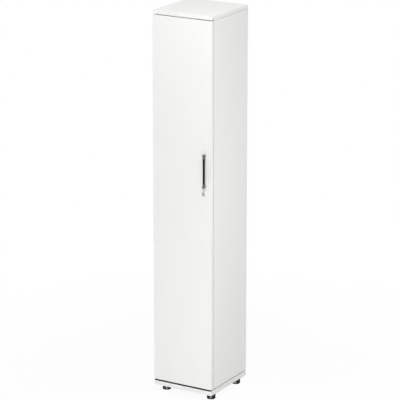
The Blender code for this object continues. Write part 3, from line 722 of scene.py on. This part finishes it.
BAR_EDGE = 0.0006
BAR_BLACK = (0.0040, 0.0040, 0.0042)
BAR_WORN = (0.010, 0.010, 0.0105)
END_METAL = (0.16, 0.16, 0.165)
END_DULL = (0.11, 0.11, 0.115)
NECK_NICKEL = (0.80, 0.79, 0.77)
NECK_DULL = (0.70, 0.69, 0.67)
NECK_FOOT_RADIUS = 0.006
NECK_FOOT_HEIGHT = 0.002
NECK_RADIUS = 0.0042
NECK_EASE = 0.0012
FLARE_END = 0.007
HEAD_RADIUS = 0.0075
HEAD_BACK = 0.009
HEAD_SHOULDER = 0.003
HEAD_PLAY = 0.0001
HEAD_EASE = 0.0022
SOCKET_RADIUS = 0.0064
SOCKET_EASE = 0.0007
HANDLE_HEAD_RADIUS = 0.004
HANDLE_HEAD_HEIGHT = 0.0022
BRUSHED_RELIEF = 0.000006

bar_low, bar_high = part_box("handle_bar")
bar_radius = (bar_high.x - bar_low.x) / 2
bar_length = bar_high.z - bar_low.z
bar_finish = Finish(bpy.data.materials.new("bar_black"))
bar_spot = bar_finish.spot()
brushed = bar_finish.noise(bar_finish.stretched(bar_spot, (1.0, 1.0, 0.012)), 2400.0, 2.0)
hand_worn = bar_finish.eased(bar_finish.noise(bar_spot, 60.0, 5.0), 0.48, 0.75)
bar_material = bar_finish.surface({
    "Base Color": bar_finish.blend(hand_worn, BAR_BLACK, BAR_WORN),
    "Roughness": 0.34 + 0.14 * brushed - 0.08 * hand_worn,
    "Normal": bar_finish.relief(brushed * BRUSHED_RELIEF),
    "Specular IOR Level": 0.07,
})
bar_mesh = meshed("bar", turned(eased_outline([
    (0.0, 0.0), (bar_radius, 0.0), (bar_radius, bar_length), (0.0, bar_length)
], BAR_EDGE), 64), bar_material)
bar_axis = Vector(((bar_low.x + bar_high.x) / 2, (bar_low.y + bar_high.y) / 2, bar_low.z))
piece("bar", bar_mesh, Matrix.Translation(bar_axis), "door", "dark_metal", "handle_bar")

neck_nickel = turned_metal("neck_nickel", NECK_NICKEL, NECK_DULL, 0.16)
cap_metal = turned_metal("bar_end_metal", END_METAL, END_DULL, 0.26)
handle_head = cross_head(HANDLE_HEAD_RADIUS, HANDLE_HEAD_HEIGHT)
handle_head_mesh = meshed("handle_screw_head", handle_head, screw_zinc)
for end, way in (("lower", 1), ("upper", -1)):
    low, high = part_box("handle_post_" + end)
    post_z = (low.z if way == 1 else high.z) + way * HEAD_RADIUS
    length = high.y - low.y
    reach = high.y - bar_axis.y
    place = standing((bar_axis.x, high.y, post_z), (0.0, -1.0, 0.0))
    neck = turned(eased_outline([
        (0.0, reach - HEAD_BACK - HEAD_PLAY),
        (NECK_RADIUS, reach - HEAD_BACK - HEAD_PLAY),
        (NECK_RADIUS, FLARE_END),
        (NECK_FOOT_RADIUS, NECK_FOOT_HEIGHT),
        (NECK_FOOT_RADIUS, 0.0),
        (0.0, 0.0),
    ], NECK_EASE), 48)
    neck_mesh = meshed("handle_neck", neck, neck_nickel)
    piece("handle_neck_" + end, neck_mesh, place, "door", "nickel", "handle_post_" + end)
    head = turned(eased_outline([
        (0.0, length),
        (HEAD_RADIUS, length),
        (HEAD_RADIUS, reach - HEAD_BACK + HEAD_SHOULDER),
        (NECK_RADIUS, reach - HEAD_BACK),
        (0.0, reach - HEAD_BACK),
    ], HEAD_EASE), 64)
    socket_reach = high.z - low.z - HEAD_RADIUS
    socket = turned(eased_outline([
        (0.0, 0.0), (SOCKET_RADIUS, 0.0), (SOCKET_RADIUS, socket_reach), (0.0, socket_reach)
    ], SOCKET_EASE), 48)
    bore_start = bar_low.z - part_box("handle_post_lower")[0].z - HEAD_RADIUS - STUD_PLAY
    bore_radius = bar_radius + STUD_PLAY
    bore = turned([
        (0.0, bore_start), (bore_radius, bore_start), (bore_radius, bar_length), (0.0, bar_length)
    ], 48)
    across = standing((0.0, 0.0, reach), (0.0, way, 0.0))
    for tool in (socket, bore):
        bmesh.ops.transform(tool, matrix=across, verts=tool.verts)
    bar_end = worked("DIFFERENCE", worked("UNION", head, socket), bore)
    piece("bar_end_" + end, meshed("bar_end_" + end, bar_end, cap_metal), place, "door", "nickel")
    place = standing((bar_axis.x, door_high.y, post_z), (0.0, 1.0, 0.0))
    piece("handle_screw_head_" + end, handle_head_mesh, place, "door", "zinc", "handle_screw_" + end)

# Lock
# A cam lock of nickelled brass. Its threaded housing goes through the door, with a round rose in
# front and a steel nut behind; the plug turns in it with a key and carries the cam on its end.

LOCK_NICKEL = (0.56, 0.555, 0.54)
LOCK_DULL = (0.43, 0.425, 0.41)
KEYWAY_WIDTH = 0.0018
KEYWAY_HEIGHT = 0.0080
KEYWAY_DEPTH = 0.0060
BARREL_RADIUS = 0.009
PLUG_PLAY = 0.0003
PLUG_EDGE = 0.0004
SHANK_RADIUS = 0.0035
MOUTH_DEPTH = 0.0006
MOUTH_FLARE = 0.0008
ROSE_SLOPE = 0.0008
ROSE_RIM_SHARE = 0.6
ROSE_EDGE = 0.0009

rose_low, rose_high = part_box("lock_housing")
plug_low, plug_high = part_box("lock_plug")
lock_x = (rose_low.x + rose_high.x) / 2
lock_z = (rose_low.z + rose_high.z) / 2
rose_radius = (rose_high.x - rose_low.x) / 2
plug_radius = (plug_high.x - plug_low.x) / 2
rose_back = door_low.y - STUD_PLAY - rose_low.y
barrel_end = rose_high.y - rose_low.y
bore_radius = plug_radius + PLUG_PLAY
lock_nickel = turned_metal("lock_nickel", LOCK_NICKEL, LOCK_DULL, 0.22)
housing_outline = eased_outline([
    (bore_radius, MOUTH_DEPTH),
    (bore_radius + MOUTH_FLARE, 0.0),
    (rose_radius - ROSE_SLOPE, 0.0),
    (rose_radius, rose_back * ROSE_RIM_SHARE),
    (rose_radius, rose_back),
    (BARREL_RADIUS, rose_back),
], ROSE_EDGE)
for turn in range(int((barrel_end - rose_back) / THREAD_PITCH)):
    height = rose_back + turn * THREAD_PITCH
    housing_outline.append(Vector((BARREL_RADIUS - THREAD_DEPTH, height + THREAD_PITCH / 2)))
    housing_outline.append(Vector((BARREL_RADIUS, height + THREAD_PITCH)))
housing_outline += [
    Vector((BARREL_RADIUS - THREAD_DEPTH, barrel_end)),
    Vector((bore_radius, barrel_end)),
    Vector((bore_radius, MOUTH_DEPTH)),
]
front = standing((lock_x, rose_low.y, lock_z), (0.0, 1.0, 0.0))
rose_mesh = meshed("lock_rose", turned(housing_outline), lock_nickel)
piece("lock_rose", rose_mesh, front, "door", "nickel", "lock_housing")
plug_start = plug_low.y - rose_low.y
plug = turned(eased_outline([
    (0.0, plug_start),
    (plug_radius, plug_start),
    (plug_radius, barrel_end),
    (SHANK_RADIUS, barrel_end),
    (SHANK_RADIUS, plug_high.y - rose_low.y),
    (0.0, plug_high.y - rose_low.y),
], PLUG_EDGE))
keyway = block(
    (-KEYWAY_WIDTH / 2, -KEYWAY_HEIGHT / 2, -plug_start),
    (KEYWAY_WIDTH / 2, KEYWAY_HEIGHT / 2, plug_start + KEYWAY_DEPTH),
)
plug_mesh = meshed("lock_barrel", worked("DIFFERENCE", plug, keyway), lock_nickel)
piece("lock_barrel", plug_mesh, front, "lock", "nickel", "lock_plug")
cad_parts["lock_nut"].active_material = pressed_steel("nut_zinc", ZINC, ZINC_DULL, 0.26)
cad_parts["lock_cam"].active_material = pressed_steel("cam_zinc", ZINC, ZINC_DULL, 0.26)
edges_broken("lock_nut")
edges_broken("lock_cam")
low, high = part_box("lock_cam_screw")
cam_head = meshed("cam_screw_head", cross_head((high.z - low.z) / 2, high.y - low.y), screw_zinc)
place = standing((lock_x, low.y, lock_z), (0.0, 1.0, 0.0))
piece("cam_screw_head", cam_head, place, "lock", "zinc", "lock_cam_screw")

# Studio
# A white paper floor that runs out of sight under a white surround. A large soft lamp stands high in
# front to the right, and smaller ones fill the top, the foot, the right side and the back. A low
# strip in front gives no light of its own to dull surfaces and only puts a shine on the feet.

ZENITH = 0.64
ZENITH_START = 0.75
FLOOR_SIZE = 80.0
FLOOR_WHITE = (0.78, 0.78, 0.78)
FLOOR_GLOW = 0.94
FLOOR_NEAR = 0.5
FLOOR_FAR = 2.2
SHADE_NEAR = 0.3
SHADE_FAR = 0.8
STRIP_SPREAD = math.radians(36.0)


def seen_rays(finish):
    """1 for the rays that show a surface straight, and 1 for those by way of a mirror or glass."""
    rays = finish.node("LightPath", {}, {}).socket.node.outputs
    camera, glossy, through = (
        Wire(finish, rays[name]) for name in ("Is Camera Ray", "Is Glossy Ray", "Is Transmission Ray")
    )
    return camera, glossy | through


def softbox(name, place, aim, width, height, power):
    """A soft lamp, out of the camera's sight."""
    light = bpy.data.lights.new(name, "AREA")
    light.shape = "RECTANGLE"
    light.size = width
    light.size_y = height
    light.energy = power
    lamp = bpy.data.objects.new(name, light)
    lamp.location = place
    lamp.rotation_euler = (Vector(aim) - Vector(place)).to_track_quat("-Z", "Y").to_euler()
    lamp.visible_camera = False
    bpy.context.scene.collection.objects.link(lamp)
    return lamp


world = bpy.data.worlds.new("studio")
bpy.context.scene.world = world
surround = Finish(world)
height = surround.split(surround.node("TexCoord", {}, {}, "Generated"))[2]
dome = ZENITH * surround.eased(height, 0.0, ZENITH_START)
camera_ray, mirror_ray = seen_rays(surround)
surround.feed(surround.tree.nodes["Background"].inputs["Strength"], dome | camera_ray | mirror_ray)
surround.feed(surround.tree.nodes["Background"].inputs["Color"], (1.0, 1.0, 1.0))

floor_shape = bmesh.new()
bmesh.ops.create_grid(floor_shape, x_segments=2, y_segments=2, size=FLOOR_SIZE / 2)
floor_material = bpy.data.materials.new("floor_paper")
floor_finish = Finish(floor_material)
floor_finish.surface({"Base Color": FLOOR_WHITE, "Roughness": 0.9, "Specular IOR Level": 0.0})
glow = floor_finish.node("Emission", {}, {"Color": (1.0, 1.0, 1.0), "Strength": 1.0})
floor_x, floor_y = floor_finish.split(floor_finish.spot())[:2]
away = (floor_x * floor_x + floor_y * floor_y) ** 0.5
camera_ray, mirror_ray = seen_rays(floor_finish)
straight_glow = FLOOR_GLOW + (1 - FLOOR_GLOW) * floor_finish.eased(away, FLOOR_NEAR, FLOOR_FAR)
mirror_glow = floor_finish.eased(away, SHADE_NEAR, SHADE_FAR)
shown = floor_finish.node("MixShader", {}, {
    0: camera_ray * straight_glow | mirror_ray * mirror_glow,
    1: Wire(floor_finish, floor_finish.tree.nodes["Principled BSDF"].outputs[0]),
    2: glow,
})
floor_finish.feed(floor_finish.tree.nodes["Material Output"].inputs["Surface"], shown)
floor = bpy.data.objects.new("floor", meshed("floor", floor_shape, floor_material))
bpy.context.scene.collection.objects.link(floor)

softbox("key_lamp", (3.9, -6.7, 10.2), (0.0, 0.0, 1.0), 4.0, 4.0, 350.0)
softbox("top_lamp", (0.9, -1.6, 3.0), (0.0, -0.1, 1.9), 1.0, 1.0, 23.3)
softbox("front_lamp", (0.8, -1.9, 0.22), (0.0, -0.16, 0.22), 1.2, 0.4, 9.9)
softbox("side_lamp_high", (1.3, -0.2, 1.75), (0.17, -0.2, 1.75), 0.5, 0.5, 1.2)
softbox("side_lamp_low", (1.3, -0.2, 0.95), (0.17, -0.2, 0.95), 0.5, 0.5, 2.25)
softbox("back_lamp", (-4.2, 5.0, 1.0), (0.0, 0.0, 1.0), 1.6, 1.6, 110.0)
glint_lamp = softbox("glint_lamp", (0.9, -2.6, 0.12), (0.0, 0.0, 0.05), 2.0, 0.2, 2.2)
glint_lamp.data.spread = STRIP_SPREAD
glint_lamp.visible_diffuse = False

bpy.context.scene.view_settings.view_transform = "Standard"

# Camera
# A long lens on a full-width sensor, far off to the right of the door. It looks down a little, at the
# middle of the cupboard.

AIM = Vector((-0.00281, 0.01425, 1.00639))
AZIMUTH = math.radians(30.83)
ELEVATION = math.radians(16.238)
DISTANCE = 11.322
LENS = 200.97
SENSOR = 36.0

sight = Vector((
    math.sin(AZIMUTH) * math.cos(ELEVATION),
    -math.cos(AZIMUTH) * math.cos(ELEVATION),
    math.sin(ELEVATION),
))
lens = bpy.data.cameras.new("camera")
lens.lens = LENS
lens.sensor_width = SENSOR
camera = bpy.data.objects.new("camera", lens)
camera.location = AIM + DISTANCE * sight
camera.rotation_euler = (-sight).to_track_quat("-Z", "Y").to_euler()
bpy.context.scene.collection.objects.link(camera)
bpy.context.scene.camera = camera
